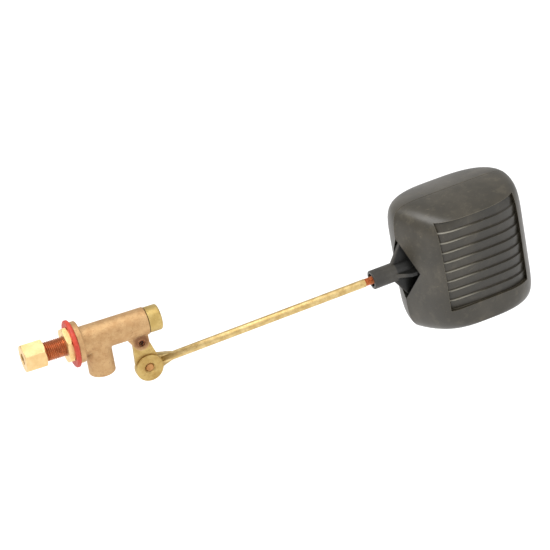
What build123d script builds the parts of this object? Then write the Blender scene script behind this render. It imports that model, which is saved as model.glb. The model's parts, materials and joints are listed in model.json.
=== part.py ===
from build123d import *
import math
import os

# Float valve for a small tank.  Millimetres, +Z up.
# The origin is the centre of the flange's sealing face, where the valve seats on the tank wall.
# +X runs along the barrel into the tank, towards the float, and the lever swings in the XZ plane.

# ---- clearances -------------------------------------------------------------------------------
RUNNING_CLEARANCE = 0.05      # radial, for a piece that turns or slides in another
THREAD_CLEARANCE = 0.05       # radial, between a thread's plain stand-in and its nut
HOLE_CLEARANCE = 0.2          # radial, for a screw's clearance hole
FACE_GAP = 0.05               # between flat faces that are clamped but can still turn
SIDE_CLEARANCE = 0.25         # each side of the lever between the ears
BOSS_CLEARANCE = 0.1          # around the float boss in its pocket

# ---- body casting -----------------------------------------------------------------------------
BARREL_RADIUS = 7.85
BARREL_LENGTH = 41.8
BARREL_BORE_RADIUS = 5.3
BARREL_EDGE_RADIUS = 0.5
FLANGE_RADIUS = 11.7
FLANGE_THICKNESS = 3.5
FLANGE_EDGE_RADIUS = 0.6
SPOUT_X = 12.7
SPOUT_RADIUS = 7.45
SPOUT_BORE_RADIUS = 4.9
SPOUT_SOCKET_RADIUS = 5.4      # the outlet tube's socket, inside the rim
SPOUT_SOCKET_DEPTH = 8.0
SPOUT_DROP = 22.0             # from the barrel's axis down to the spout's rim
SPOUT_FILLET = 1.5
SPOUT_EDGE_RADIUS = 0.6

# ---- lever pivot ------------------------------------------------------------------------------
PIVOT_X = 36.4
PIVOT_DROP = 10.8
EAR_RADIUS = 4.5
EAR_THICKNESS = 2.4
EAR_ROOT_BACK = 7.6           # the ears' root reaches this far towards the flange from the pivot
EAR_ROOT_FRONT = 4.2          # and this far towards the barrel's end
PIN_RADIUS = 2.2
PIN_WALL = 0.8
PIN_RECESS = 0.6
PIN_SLIT = 0.7

# ---- inlet nipple, nuts and washer ------------------------------------------------------------
THREAD_RADIUS = 5.55          # 7/16 inch fine thread
NIPPLE_LENGTH = 25.6          # that stands out of the flange
NIPPLE_ROOT_RADIUS = 5.0      # the part that is screwed into the casting
NIPPLE_ROOT_LENGTH = 8.0
NIPPLE_CHAMFER = 0.6
TUBE_RADIUS = 3.175           # 1/4 inch supply tube
TUBE_SOCKET_DEPTH = 8.0
TUBE_SOCKET_CLEARANCE = 0.08
FERRULE_CONE_DEPTH = 1.4
WATERWAY_RADIUS = 2.2
SEAT_RADIUS = 2.6
SEAT_HEIGHT = 2.0
ORIFICE_RADIUS = 1.2
ORIFICE_LENGTH = 3.0
WASHER_THICKNESS = 2.5
WASHER_RADIUS = 13.4
WASHER_EDGE_RADIUS = 1.1
LOCK_NUT_FLATS = 18.6
LOCK_NUT_THICKNESS = 3.0
NUT_CHAMFER = 1.1
COMPRESSION_NUT_FLATS = 14.8
COMPRESSION_NUT_LENGTH = 12.0
COMPRESSION_NUT_GRIP = 8.4    # length of its thread
COMPRESSION_NUT_CHAMFER = 1.3
FERRULE_LENGTH = 3.0
FERRULE_RADIUS = 4.3
FERRULE_CHAMFER = 0.5
FERRULE_LAND = 0.15
FERRULE_ROOM = 0.3            # between the ferrule and the nut, and before the nipple's mouth
FERRULE_ENTRY = 0.9           # how far the ferrule's cone stands in the nipple's mouth

# ---- plunger ----------------------------------------------------------------------------------
SEAT_GAP = 0.1                # between the closed seat washer and the seat
SEAT_WASHER_RADIUS = 3.4
SEAT_WASHER_THICKNESS = 2.6
SEAT_WASHER_PROUD = 0.5
NOSE_RADIUS = 4.4
NOSE_LENGTH = 8.0
HEAD_RADIUS = 7.35
HEAD_LENGTH = 7.5
HEAD_EDGE_RADIUS = 1.1
HEAD_GAP = 0.4                # between the closed plunger's head and the barrel
O_RING_SECTION = 1.8
O_RING_SQUEEZE_CLEARANCE = 0.02
O_RING_FROM_SHOULDER = 3.0
O_RING_GROOVE_SLACK = 0.2

# ---- lever ------------------------------------------------------------------------------------
LEVER_THICKNESS = 2.6
LEVER_TOP_RADIUS = 4.3
FINGER_LENGTH = 7.8           # from the pivot to the middle of the finger's round tip
FINGER_TIP_RADIUS = 2.2
FINGER_HALF_WIDTH = 1.3
FINGER_CLEARANCE = 0.12       # each side of the finger's tip in the plunger's slot
DISC_FORWARD = 2.5            # from the pivot to the clamp screw, along the barrel
DISC_BELOW = 17.5             # and down
DISC_RADIUS = 8.0
DISC_RAISE = 1.3
DISC_EDGE_RADIUS = 0.5
PLATE_STEP = 0.5              # the plate behind the raised disc is this much smaller
SCREW_RADIUS = 2.4            # number 10 thread
COUNTERSINK_RADIUS = 3.4

# ---- float arm and its clamp ------------------------------------------------------------------
ARM_RISE_DEGREES = 3.1        # the arm's slope when the valve is shut
ARM_OFFSET = 2.0              # the arm's axis lies this far behind the barrel's
EYE_RADIUS = 6.5
EYE_THICKNESS = 3.0
NECK_START = 8.3              # distances along the arm are from the clamp screw
NECK_END = 14.0
NECK_EDGE_RADIUS = 0.6
ROD_RADIUS = 2.4
ROD_END = 134.5
ARM_THREAD_RADIUS = 2.35
ARM_THREAD_CHAMFER = 0.5
ARM_LENGTH = 152.0
LOCK_WASHER_RADIUS = 4.3
LOCK_WASHER_THICKNESS = 1.1
LOCK_WASHER_SLIT = 0.8
SCREW_HEAD_RADIUS = 4.6
SCREW_HEAD_HEIGHT = 3.2
SCREW_HEAD_EDGE_RADIUS = 0.8
SCREW_SLOT_WIDTH = 1.2
SCREW_SLOT_DEPTH = 1.5
SCREW_END_RECESS = 0.5

# ---- float ------------------------------------------------------------------------------------
BOSS_START = 138.9
BOSS_RADIUS = 5.6
BOSS_MOUTH_RADIUS = 3.9
BOSS_MOUTH_DEPTH = 3.0
BOSS_BORE_SPARE = 4.0         # beyond the end of the arm's thread
FIN_THICKNESS = 2.2
FIN_START = 152.0
FIN_TIP = 160.0
FLOAT_MIDDLE = 195.7
FLOAT_DROP = 1.4              # the float hangs this far below the arm's axis
FLOAT_HALF_LENGTH = 38.0
FLOAT_HALF_HEIGHT = 41.0
FLOAT_HALF_WIDTH = 28.0
FLOAT_FACE_HALF_LENGTH = 14.0
FLOAT_FACE_HALF_HEIGHT = 33.4
SEAM_POWER = 7.4              # of the superellipse that the seam follows, on the arm's side
FAR_SEAM_POWER = 8.6          # and on the far side
FACE_POWER = 2.4              # and of the one round the flattest part of the face
PLAN_POWER = 2.3              # of the curve from the seam round to the face, seen from above
FRONT_DRAFT = 13.0            # the front half slopes in by this much at the arm's end
FRONT_DRAFT_POWER = 5.0
ROOF_POWER = 1.3              # of the same curve seen end on
FLOAT_WALL = 2.2
FLOAT_SECTIONS = (0.0, 0.3, 0.55, 0.75, 0.88, 0.96, 1.0)
OUTLINE_POINTS = 40
POCKET_HALF_HEIGHT = 20.0
POCKET_HALF_WIDTH = 13.0
POCKET_FLOOR = 182.0
POCKET_CORNER_RADIUS = 2.0
BOSS_BASE_THICKNESS = 2.0

# ---- places worked out from the sizes above -----------------------------------------------------
PIVOT_Z = -PIVOT_DROP
SEAT_X = NIPPLE_ROOT_LENGTH + SEAT_HEIGHT
NOSE_X = SEAT_X + SEAT_GAP + SEAT_WASHER_PROUD
SHOULDER_X = NOSE_X + NOSE_LENGTH
HEAD_X = BARREL_LENGTH + HEAD_GAP
PLUNGER_RADIUS = BARREL_BORE_RADIUS - RUNNING_CLEARANCE
EAR_INSIDE = LEVER_THICKNESS / 2 + SIDE_CLEARANCE
EAR_OUTSIDE = EAR_INSIDE + EAR_THICKNESS
LOCK_NUT_X = -WASHER_THICKNESS - LOCK_NUT_THICKNESS
NIPPLE_END_X = -NIPPLE_LENGTH
FERRULE_START = NIPPLE_END_X + FERRULE_ENTRY - FERRULE_LENGTH
COMPRESSION_NUT_X = NIPPLE_END_X + COMPRESSION_NUT_GRIP - COMPRESSION_NUT_LENGTH
DISC_X = PIVOT_X + DISC_FORWARD
DISC_Z = PIVOT_Z - DISC_BELOW
LEVER_BACK_Y = LEVER_THICKNESS / 2
LEVER_FRONT_Y = -LEVER_THICKNESS / 2
DISC_FRONT_Y = LEVER_FRONT_Y - DISC_RAISE
EYE_FRONT_Y = LEVER_BACK_Y + FACE_GAP
EYE_BACK_Y = EYE_FRONT_Y + EYE_THICKNESS
LOCK_WASHER_Y = EYE_BACK_Y + FACE_GAP
SCREW_HEAD_Y = LOCK_WASHER_Y + LOCK_WASHER_THICKNESS
FROM_MIN = (Align.CENTER, Align.CENTER, Align.MIN)
ARM_PLACE = Pos(DISC_X, ARM_OFFSET, DISC_Z) * Rot(0, -ARM_RISE_DEGREES, 0)


# ---- shared shapes ------------------------------------------------------------------------------
def cylinder_x(radius, start, end, y=0.0, z=0.0):
    """Cylinder along X between two stations."""
    return Pos(start, y, z) * Rot(0, 90, 0) * Cylinder(radius, end - start, align=FROM_MIN)


def cylinder_y(radius, start, end, x=0.0, z=0.0):
    """Cylinder along Y between two stations."""
    return Pos(x, start, z) * Rot(-90, 0, 0) * Cylinder(radius, end - start, align=FROM_MIN)


def cylinder_z(radius, start, end, x=0.0, y=0.0):
    """Cylinder along Z between two stations."""
    return Pos(x, y, start) * Cylinder(radius, end - start, align=FROM_MIN)


def block(x, y, z):
    """Box between two limits on each axis."""
    size = Box(x[1] - x[0], y[1] - y[0], z[1] - z[0])
    return Pos((x[0] + x[1]) / 2, (y[0] + y[1]) / 2, (z[0] + z[1]) / 2) * size


def turned(outline):
    """Solid turned about X from (station, radius) points."""
    return revolve(make_face(Polyline(*outline, close=True)), Axis.X)


def plate(profile, front, back):
    """Plate with a profile drawn in XZ, between two Y stations."""
    return Pos(0, back, 0) * extrude(Plane.XZ * profile, back - front)


def hull(*edges):
    """Face that wraps round a set of edges."""
    return make_hull(ShapeList([edge for group in edges for edge in group]))


def circle_edges(x, y, radius):
    """Edges of a circle for a hull."""
    return (Pos(x, y) * Circle(radius)).edges()


def hex_nut(flats, start, end, chamfer):
    """Hexagonal bar along X with its corners turned off at both ends."""
    corner_radius = flats / 2 / math.cos(math.pi / 6)
    bar = Pos(start, 0, 0) * Rot(0, 90, 0) * extrude(RegularPolygon(corner_radius, 6), end - start)
    drop = chamfer * math.tan(math.pi / 6)
    return bar & turned([
        (start, 0), (start, corner_radius - chamfer), (start + drop, corner_radius),
        (end - drop, corner_radius), (end, corner_radius - chamfer), (end, 0),
    ])


# ---- body casting -------------------------------------------------------------------------------
def barrel_and_flange():
    """Barrel with its flange, edges rounded as cast."""
    barrel = cylinder_x(BARREL_RADIUS, 0, BARREL_LENGTH)
    barrel = fillet(barrel.edges().sort_by(Axis.X)[-1], BARREL_EDGE_RADIUS)
    flange = cylinder_x(FLANGE_RADIUS, 0, FLANGE_THICKNESS)
    flange = fillet(flange.edges(), FLANGE_EDGE_RADIUS)
    return barrel + flange


def spout():
    """Outlet spout that hangs from the barrel, with its rim rounded."""
    tube = cylinder_z(SPOUT_RADIUS, -SPOUT_DROP, 0, x=SPOUT_X)
    return fillet(tube.edges().sort_by(Axis.Z)[0], SPOUT_EDGE_RADIUS)


def ears():
    """Both clevis ears as one block, before the lever's slot splits them."""
    root = Line((PIVOT_X - EAR_ROOT_BACK, -BARREL_RADIUS + 1), (PIVOT_X + EAR_ROOT_FRONT, -BARREL_RADIUS + 1))
    neck = Line((PIVOT_X - EAR_RADIUS, 0), (PIVOT_X + EAR_ROOT_FRONT, 0))
    outline = hull(circle_edges(PIVOT_X, PIVOT_Z, EAR_RADIUS), root.edges(), neck.edges())
    return plate(outline, -EAR_OUTSIDE, EAR_OUTSIDE)


def make_valve_body():
    """Casting: barrel, flange, spout and ears, bored through and slotted for the lever."""
    casting = barrel_and_flange() + spout()
    crotch = [
        edge for edge in casting.edges().filter_by(GeomType.BSPLINE)
        if edge.bounding_box().max.Z < 0 and abs(edge.center().X - SPOUT_X) < SPOUT_RADIUS
    ]
    casting = fillet(crotch, SPOUT_FILLET) if crotch else casting
    casting = casting + ears()
    casting = casting - cylinder_x(NIPPLE_ROOT_RADIUS, -1, NIPPLE_ROOT_LENGTH)
    casting = casting - cylinder_x(BARREL_BORE_RADIUS, NIPPLE_ROOT_LENGTH, BARREL_LENGTH + 1)
    casting = casting - cylinder_z(SPOUT_BORE_RADIUS, -SPOUT_DROP, 0, x=SPOUT_X)
    casting = casting - cylinder_z(SPOUT_SOCKET_RADIUS, -SPOUT_DROP - 1, SPOUT_SOCKET_DEPTH - SPOUT_DROP,
                                   x=SPOUT_X)
    slot_reach = LEVER_TOP_RADIUS + SIDE_CLEARANCE
    casting = casting - block(
        (PIVOT_X - slot_reach, PIVOT_X + slot_reach),
        (-EAR_INSIDE, EAR_INSIDE),
        (PIVOT_Z - EAR_RADIUS - 1, 0),
    )
    casting = casting - block(
        (PIVOT_X - EAR_ROOT_BACK, PIVOT_X + EAR_RADIUS + 1),
        (-EAR_INSIDE, EAR_INSIDE),
        (PIVOT_Z - EAR_RADIUS - 1, -BARREL_RADIUS),
    )
    return casting - cylinder_y(PIN_RADIUS, -EAR_OUTSIDE - 1, EAR_OUTSIDE + 1, x=PIVOT_X, z=PIVOT_Z)


def make_pivot_pin():
    """Slit spring pin, held in the ears and sunk a little below their faces."""
    half = EAR_OUTSIDE - PIN_RECESS
    pin = cylinder_y(PIN_RADIUS, -half, half, x=PIVOT_X, z=PIVOT_Z)
    pin = pin - cylinder_y(PIN_RADIUS - PIN_WALL, -half - 1, half + 1, x=PIVOT_X, z=PIVOT_Z)
    slit = (PIVOT_X - PIN_SLIT / 2, PIVOT_X + PIN_SLIT / 2)
    return pin - block(slit, (-half - 1, half + 1), (PIVOT_Z - PIN_RADIUS - 1, PIVOT_Z))


# ---- inlet --------------------------------------------------------------------------------------
def make_inlet_nipple():
    """Turned nipple: tube socket, waterway and the raised seat that the plunger shuts on."""
    nipple = turned([
        (NIPPLE_END_X, 0), (NIPPLE_END_X, THREAD_RADIUS - NIPPLE_CHAMFER),
        (NIPPLE_END_X + NIPPLE_CHAMFER, THREAD_RADIUS), (0, THREAD_RADIUS), (0, NIPPLE_ROOT_RADIUS),
        (NIPPLE_ROOT_LENGTH, NIPPLE_ROOT_RADIUS), (NIPPLE_ROOT_LENGTH, SEAT_RADIUS + 1),
        (SEAT_X, SEAT_RADIUS), (SEAT_X, 0),
    ])
    socket = TUBE_RADIUS + TUBE_SOCKET_CLEARANCE
    waterway = turned([
        (NIPPLE_END_X - 1, 0), (NIPPLE_END_X - 1, FERRULE_RADIUS),
        (NIPPLE_END_X, FERRULE_RADIUS), (NIPPLE_END_X + FERRULE_CONE_DEPTH, socket),
        (NIPPLE_END_X + TUBE_SOCKET_DEPTH, socket), (NIPPLE_END_X + TUBE_SOCKET_DEPTH, WATERWAY_RADIUS),
        (SEAT_X - ORIFICE_LENGTH, WATERWAY_RADIUS), (SEAT_X - ORIFICE_LENGTH, ORIFICE_RADIUS),
        (SEAT_X + 1, ORIFICE_RADIUS), (SEAT_X + 1, 0),
    ])
    return nipple - waterway


def make_compression_nut():
    """Hexagonal nut that squeezes the ferrule on to the supply tube."""
    end = COMPRESSION_NUT_X + COMPRESSION_NUT_LENGTH
    nut = hex_nut(COMPRESSION_NUT_FLATS, COMPRESSION_NUT_X, end, COMPRESSION_NUT_CHAMFER)
    bore = THREAD_RADIUS + THREAD_CLEARANCE
    mouth = TUBE_RADIUS + TUBE_SOCKET_CLEARANCE
    room = FERRULE_RADIUS + FERRULE_ROOM
    cone_start = FERRULE_START - FERRULE_ROOM
    thread_start = NIPPLE_END_X - NIPPLE_CHAMFER
    return nut - turned([
        (COMPRESSION_NUT_X - 1, 0), (COMPRESSION_NUT_X - 1, mouth), (cone_start, mouth),
        (cone_start, room), (thread_start, room), (thread_start, bore), (end + 1, bore), (end + 1, 0),
    ])


def make_compression_ferrule():
    """Barrel-shaped ferrule between the nut and the nipple's mouth."""
    inside = TUBE_RADIUS + TUBE_SOCKET_CLEARANCE
    end = FERRULE_START + FERRULE_LENGTH
    cylinder_end = NIPPLE_END_X - FERRULE_ROOM
    return turned([
        (FERRULE_START, inside), (FERRULE_START, FERRULE_RADIUS - FERRULE_CHAMFER),
        (FERRULE_START + FERRULE_CHAMFER, FERRULE_RADIUS), (cylinder_end, FERRULE_RADIUS),
        (end, inside + FERRULE_LAND), (end, inside),
    ])


def make_lock_nut():
    """Thin hexagonal nut that pulls the flange against the tank wall."""
    nut = hex_nut(LOCK_NUT_FLATS, LOCK_NUT_X, -WASHER_THICKNESS, NUT_CHAMFER)
    return nut - cylinder_x(THREAD_RADIUS + THREAD_CLEARANCE, LOCK_NUT_X - 1, 0)


def make_tank_washer():
    """Soft rubber washer with rounded edges, seated on the flange."""
    washer = cylinder_x(WASHER_RADIUS, -WASHER_THICKNESS, 0)
    washer = fillet(washer.edges(), WASHER_EDGE_RADIUS)
    return washer - cylinder_x(THREAD_RADIUS + HOLE_CLEARANCE, -WASHER_THICKNESS - 1, 1)


# ---- plunger ------------------------------------------------------------------------------------
def o_ring_span():
    """Stations of the O-ring's groove."""
    start = SHOULDER_X + O_RING_FROM_SHOULDER
    return start, start + O_RING_SECTION + O_RING_GROOVE_SLACK


def make_plunger():
    """Plunger: nose with the washer's recess, ringed shank, finger slot and the head outside."""
    start, end = o_ring_span()
    groove_radius = BARREL_BORE_RADIUS - O_RING_SECTION
    plunger = turned([
        (NOSE_X, 0), (NOSE_X, NOSE_RADIUS - 0.4), (NOSE_X + 0.4, NOSE_RADIUS),
        (SHOULDER_X - 1, NOSE_RADIUS), (SHOULDER_X, PLUNGER_RADIUS), (start, PLUNGER_RADIUS),
        (start, groove_radius), (end, groove_radius), (end, PLUNGER_RADIUS),
        (HEAD_X, PLUNGER_RADIUS), (HEAD_X, 0),
    ])
    head = cylinder_x(HEAD_RADIUS, HEAD_X, HEAD_X + HEAD_LENGTH)
    head = fillet(head.edges().sort_by(Axis.X)[-1], HEAD_EDGE_RADIUS)
    plunger = plunger + head
    recess_depth = SEAT_WASHER_THICKNESS - SEAT_WASHER_PROUD
    plunger = plunger - cylinder_x(SEAT_WASHER_RADIUS, NOSE_X - 1, NOSE_X + recess_depth)
    slot_half = FINGER_TIP_RADIUS + FINGER_CLEARANCE
    slot_top = PIVOT_Z + FINGER_LENGTH + FINGER_TIP_RADIUS + 2 * SIDE_CLEARANCE
    return plunger - block(
        (PIVOT_X - slot_half, PIVOT_X + slot_half), (-HEAD_RADIUS, HEAD_RADIUS), (-HEAD_RADIUS, slot_top),
    )


def make_plunger_o_ring():
    """O-ring that keeps water from creeping along the plunger."""
    start, end = o_ring_span()
    radius = O_RING_SECTION / 2 - O_RING_SQUEEZE_CLEARANCE
    middle = BARREL_BORE_RADIUS - O_RING_SECTION / 2
    return Pos((start + end) / 2, 0, 0) * Rot(0, 90, 0) * Torus(middle, radius)


def make_seat_washer():
    """Rubber disc in the plunger's nose that shuts on the seat."""
    return cylinder_x(SEAT_WASHER_RADIUS, NOSE_X - SEAT_WASHER_PROUD,
                      NOSE_X - SEAT_WASHER_PROUD + SEAT_WASHER_THICKNESS)


# ---- lever --------------------------------------------------------------------------------------
def make_lever():
    """Lever plate: finger into the plunger above, pivot hole, and the clamp disc below."""
    top = circle_edges(PIVOT_X, PIVOT_Z, LEVER_TOP_RADIUS)
    bottom = circle_edges(DISC_X, DISC_Z, DISC_RADIUS - PLATE_STEP)
    lever = plate(hull(top, bottom), LEVER_FRONT_Y, LEVER_BACK_Y)
    tip_z = PIVOT_Z + FINGER_LENGTH
    lever = lever + block(
        (PIVOT_X - FINGER_HALF_WIDTH, PIVOT_X + FINGER_HALF_WIDTH), (LEVER_FRONT_Y, LEVER_BACK_Y), (PIVOT_Z, tip_z),
    )
    lever = lever + cylinder_y(FINGER_TIP_RADIUS, LEVER_FRONT_Y, LEVER_BACK_Y, x=PIVOT_X, z=tip_z)
    disc = cylinder_y(DISC_RADIUS, DISC_FRONT_Y, LEVER_BACK_Y, x=DISC_X, z=DISC_Z)
    lever = lever + fillet(disc.edges().sort_by(Axis.Y)[0], DISC_EDGE_RADIUS)
    lever = lever - cylinder_y(PIN_RADIUS + RUNNING_CLEARANCE, LEVER_FRONT_Y - 1, LEVER_BACK_Y + 1,
                               x=PIVOT_X, z=PIVOT_Z)
    thread = SCREW_RADIUS + THREAD_CLEARANCE
    lever = lever - cylinder_y(thread, DISC_FRONT_Y - 1, LEVER_BACK_Y + 1, x=DISC_X, z=DISC_Z)
    depth = COUNTERSINK_RADIUS - thread
    sink = Cone(thread, COUNTERSINK_RADIUS, depth, align=FROM_MIN)
    return lever - Pos(DISC_X, DISC_FRONT_Y + depth, DISC_Z) * Rot(90, 0, 0) * sink


def make_clamp_screw():
    """Slotted cheese-head screw that clamps the float arm to the lever from behind."""
    shank = cylinder_y(SCREW_RADIUS, DISC_FRONT_Y + SCREW_END_RECESS, SCREW_HEAD_Y + 1, x=DISC_X, z=DISC_Z)
    shank = chamfer(shank.edges().sort_by(Axis.Y)[0], 0.4)
    head_end = SCREW_HEAD_Y + SCREW_HEAD_HEIGHT
    head = cylinder_y(SCREW_HEAD_RADIUS, SCREW_HEAD_Y, head_end, x=DISC_X, z=DISC_Z)
    head = fillet(head.edges().sort_by(Axis.Y)[-1], SCREW_HEAD_EDGE_RADIUS)
    reach = SCREW_HEAD_RADIUS + 1
    slot = block(
        (DISC_X - reach, DISC_X + reach), (head_end - SCREW_SLOT_DEPTH, head_end + 1),
        (DISC_Z - SCREW_SLOT_WIDTH / 2, DISC_Z + SCREW_SLOT_WIDTH / 2),
    )
    return shank + head - slot


def make_lock_washer():
    """Split lock washer under the screw's head."""
    washer = cylinder_y(LOCK_WASHER_RADIUS, LOCK_WASHER_Y, SCREW_HEAD_Y, x=DISC_X, z=DISC_Z)
    washer = washer - cylinder_y(SCREW_RADIUS + RUNNING_CLEARANCE, LOCK_WASHER_Y - 1, SCREW_HEAD_Y + 1,
                                 x=DISC_X, z=DISC_Z)
    return washer - block(
        (DISC_X - LOCK_WASHER_SLIT / 2, DISC_X + LOCK_WASHER_SLIT / 2), (LOCK_WASHER_Y - 1, SCREW_HEAD_Y + 1),
        (DISC_Z, DISC_Z + LOCK_WASHER_RADIUS + 1),
    )


# ---- float arm ----------------------------------------------------------------------------------
def make_float_arm():
    """Arm: flat eye behind the lever's disc, neck that narrows to the rod, and the threaded end."""
    rod = turned([
        (NECK_START, 0), (NECK_START, ROD_RADIUS), (ROD_END, ROD_RADIUS), (ROD_END + 0.3, ARM_THREAD_RADIUS),
        (ARM_LENGTH - ARM_THREAD_CHAMFER, ARM_THREAD_RADIUS),
        (ARM_LENGTH, ARM_THREAD_RADIUS - ARM_THREAD_CHAMFER), (ARM_LENGTH, 0),
    ])
    front = EYE_FRONT_Y - ARM_OFFSET
    back = EYE_BACK_Y - ARM_OFFSET
    outline = hull(circle_edges(0, 0, EYE_RADIUS), circle_edges(NECK_END, 0, ROD_RADIUS))
    neck = plate(outline, front, back)
    neck = fillet(neck.faces().sort_by(Axis.Y)[-1].edges(), NECK_EDGE_RADIUS)
    rod = rod - cylinder_y(NECK_START, -ROD_RADIUS - 1, front)
    arm = neck + rod
    arm = arm - cylinder_y(SCREW_RADIUS + HOLE_CLEARANCE, front - 1, back + 1)
    return ARM_PLACE * arm


# ---- float --------------------------------------------------------------------------------------
def outline_points(near_length, far_length, half_height, near_power, far_power):
    """Points round an outline of two half superellipses, evenly spaced in angle."""
    points = []
    for step in range(OUTLINE_POINTS):
        angle = 2 * math.pi * (step + 0.5) / OUTLINE_POINTS
        across = math.cos(angle)
        up = math.sin(angle)
        length = far_length if across > 0 else near_length
        power = far_power if across > 0 else near_power
        reach = (abs(across / length) ** power + abs(up / half_height) ** power) ** (-1 / power)
        points.append((across * reach, up * reach))
    return points


def float_section(share, wall, side):
    """Cross-section of one half at a share of the half width, shrunk by the wall."""
    plan = (1 - share ** PLAN_POWER) ** (1 / PLAN_POWER)
    roof = (1 - share ** ROOF_POWER) ** (1 / ROOF_POWER)
    spare = FLOAT_HALF_LENGTH - FLOAT_FACE_HALF_LENGTH
    far_length = FLOAT_FACE_HALF_LENGTH + spare * plan
    near_length = far_length
    if side < 0:
        near_plan = (1 - share ** FRONT_DRAFT_POWER) ** (1 / FRONT_DRAFT_POWER)
        near_length = FLOAT_FACE_HALF_LENGTH + (spare - FRONT_DRAFT * share) * near_plan
    half_height = FLOAT_FACE_HALF_HEIGHT + (FLOAT_HALF_HEIGHT - FLOAT_FACE_HALF_HEIGHT) * roof
    blend = (2 * plan + roof) / 3
    near_power = FACE_POWER + (SEAM_POWER - FACE_POWER) * blend
    far_power = FACE_POWER + (FAR_SEAM_POWER - FACE_POWER) * blend
    points = outline_points(near_length - wall, far_length - wall, half_height - wall, near_power, far_power)
    flat = Plane.XZ * make_face(Spline(*points, periodic=True))
    return Pos(FLOAT_MIDDLE, side * share * (FLOAT_HALF_WIDTH - wall), -FLOAT_DROP) * flat


def float_half_solid(wall, side):
    """One half of the float, solid, shrunk by the wall."""
    return loft([float_section(share, wall, side) for share in FLOAT_SECTIONS])


def pocket_solid(growth, start, end):
    """Diamond-shaped bar that the pocket round the boss is cut with."""
    tall = POCKET_HALF_HEIGHT + growth
    wide = POCKET_HALF_WIDTH + growth
    diamond = make_face(Polyline((-wide, 0), (0, tall), (wide, 0), (0, -tall), close=True))
    diamond = fillet(diamond.vertices(), POCKET_CORNER_RADIUS)
    return Plane(origin=(start, 0, 0), x_dir=(0, 1, 0), z_dir=(1, 0, 0)) * extrude(diamond, end - start)


def make_float_shell(side):
    """Hollow half of the float, joined to its twin on the seam through the arm's axis."""
    outside = FLOAT_MIDDLE - FLOAT_HALF_LENGTH - 10
    cavity = float_half_solid(FLOAT_WALL, side)
    cavity = cavity - pocket_solid(FLOAT_WALL, outside, POCKET_FLOOR + FLOAT_WALL)
    shell = float_half_solid(0, side) - cavity
    return ARM_PLACE * (shell - pocket_solid(0, outside, POCKET_FLOOR))


def fin(inner_start, tip_start, reach):
    """Triangular gusset from the boss out to the pocket's wall."""
    root = BOSS_RADIUS - 1
    return make_face(Polyline(
        (inner_start, root), (inner_start, BOSS_RADIUS), (tip_start, reach), (POCKET_FLOOR, reach),
        (POCKET_FLOOR, root), close=True,
    ))


def make_float_boss():
    """Threaded boss with four gussets on a diamond base, set in the float's pocket."""
    boss = cylinder_x(BOSS_RADIUS, BOSS_START, POCKET_FLOOR)
    boss = fillet(boss.edges().sort_by(Axis.X)[0], 0.4)
    upright = fin(FIN_START, FIN_TIP, POCKET_HALF_HEIGHT - POCKET_CORNER_RADIUS - BOSS_CLEARANCE)
    level = fin(FIN_START, FIN_TIP, POCKET_HALF_WIDTH - POCKET_CORNER_RADIUS - BOSS_CLEARANCE)
    for turn in (0, 180):
        boss = boss + Rot(turn, 0, 0) * plate(upright, -FIN_THICKNESS / 2, FIN_THICKNESS / 2)
        boss = boss + Rot(turn + 90, 0, 0) * plate(level, -FIN_THICKNESS / 2, FIN_THICKNESS / 2)
    boss = boss + pocket_solid(-BOSS_CLEARANCE, POCKET_FLOOR - BOSS_BASE_THICKNESS, POCKET_FLOOR)
    boss = boss - cylinder_x(BOSS_MOUTH_RADIUS, BOSS_START - 1, BOSS_START + BOSS_MOUTH_DEPTH)
    bore = ARM_THREAD_RADIUS + THREAD_CLEARANCE
    return ARM_PLACE * (boss - cylinder_x(bore, BOSS_START, ARM_LENGTH + BOSS_BORE_SPARE))


PARTS = {
    "valve_body": make_valve_body,
    "pivot_pin": make_pivot_pin,
    "inlet_nipple": make_inlet_nipple,
    "compression_nut": make_compression_nut,
    "compression_ferrule": make_compression_ferrule,
    "lock_nut": make_lock_nut,
    "tank_washer": make_tank_washer,
    "plunger": make_plunger,
    "plunger_o_ring": make_plunger_o_ring,
    "seat_washer": make_seat_washer,
    "lever": make_lever,
    "clamp_screw": make_clamp_screw,
    "lock_washer": make_lock_washer,
    "float_arm": make_float_arm,
    "float_front_shell": lambda: make_float_shell(-1),
    "float_rear_shell": lambda: make_float_shell(1),
    "float_boss": make_float_boss,
}

os.makedirs("parts", exist_ok=True)
for name, make in PARTS.items():
    export_step(make(), f"parts/{name}.step")
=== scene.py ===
"""Looks of a small tank float valve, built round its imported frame.

Sizes in the classes are millimetres in the frame's own axes; meshes are made in metres. The nipple,
the tank washer, the arm and the float's two halves are made here; the other nodes keep their shape.
"""
from __future__ import annotations

import json
import logging
import math
from dataclasses import dataclass, field
from enum import Enum
from typing import Any, Optional, Sequence, Union

import bmesh
import bpy
from mathutils import Matrix, Vector

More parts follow.
